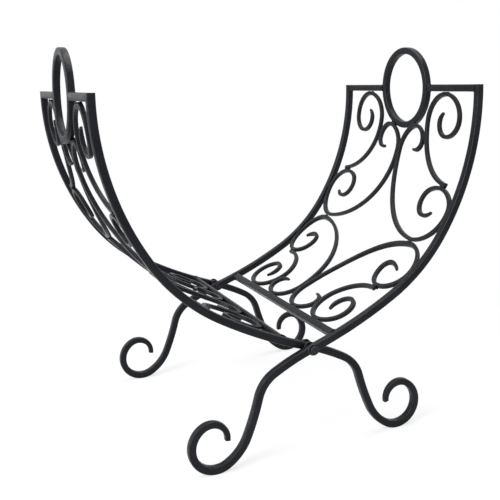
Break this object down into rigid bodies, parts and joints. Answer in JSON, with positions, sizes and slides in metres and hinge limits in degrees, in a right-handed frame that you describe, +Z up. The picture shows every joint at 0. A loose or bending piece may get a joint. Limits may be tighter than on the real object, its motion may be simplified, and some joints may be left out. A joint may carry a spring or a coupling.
{
  "type": "log holder",
  "caption": "Folding X-frame log holder of black wrought iron with scroll panels, ring handles and scroll feet.",
  "frame": {"origin": "on the floor, under the middle of the crossing of the two frames", "axes": "+X to the right frame's panel, +Y to the back, +Z up"},
  "size_m": [0.4918, 0.366, 0.4887],
  "materials": {
    "frame_bar": "satin black",
    "scroll_bar": "satin black",
    "fastener": "satin black"
  },
  "bodies": {
    "right_frame": {"right_front_rail": "frame_bar", "right_front_leg": "frame_bar", "right_front_top_bar": "frame_bar", "right_front_lower_centre_scroll": "scroll_bar", "right_front_lower_corner_scroll": "scroll_bar", "right_front_upper_centre_scroll": "scroll_bar", "right_front_upper_corner_scroll": "scroll_bar", "right_back_rail": "frame_bar", "right_back_leg": "frame_bar", "right_back_top_bar": "frame_bar", "right_back_lower_centre_scroll": "scroll_bar", "right_back_lower_corner_scroll": "scroll_bar", "right_back_upper_centre_scroll": "scroll_bar", "right_back_upper_corner_scroll": "scroll_bar", "right_ring_handle": "frame_bar", "right_cross_bar": "frame_bar", "front_bolt": "fastener", "front_head_washer": "fastener", "front_middle_washer": "fastener", "front_nut_washer": "fastener", "front_nut": "fastener", "back_bolt": "fastener", "back_head_washer": "fastener", "back_middle_washer": "fastener", "back_nut_washer": "fastener", "back_nut": "fastener"},
    "left_frame": {"left_front_rail": "frame_bar", "left_front_leg": "frame_bar", "left_front_top_bar": "frame_bar", "left_front_lower_centre_scroll": "scroll_bar", "left_front_lower_corner_scroll": "scroll_bar", "left_front_upper_centre_scroll": "scroll_bar", "left_front_upper_corner_scroll": "scroll_bar", "left_back_rail": "frame_bar", "left_back_leg": "frame_bar", "left_back_top_bar": "frame_bar", "left_back_lower_centre_scroll": "scroll_bar", "left_back_lower_corner_scroll": "scroll_bar", "left_back_upper_centre_scroll": "scroll_bar", "left_back_upper_corner_scroll": "scroll_bar", "left_ring_handle": "frame_bar", "left_cross_bar": "frame_bar"}
  },
  "joints": [
    {"name": "frame_fold", "type": "hinge", "parent": "right_frame", "child": "left_frame", "pos_m": [0, 0, 0.12797], "axis": [0, 1, 0], "range_deg": [0, 66]}
  ]
}
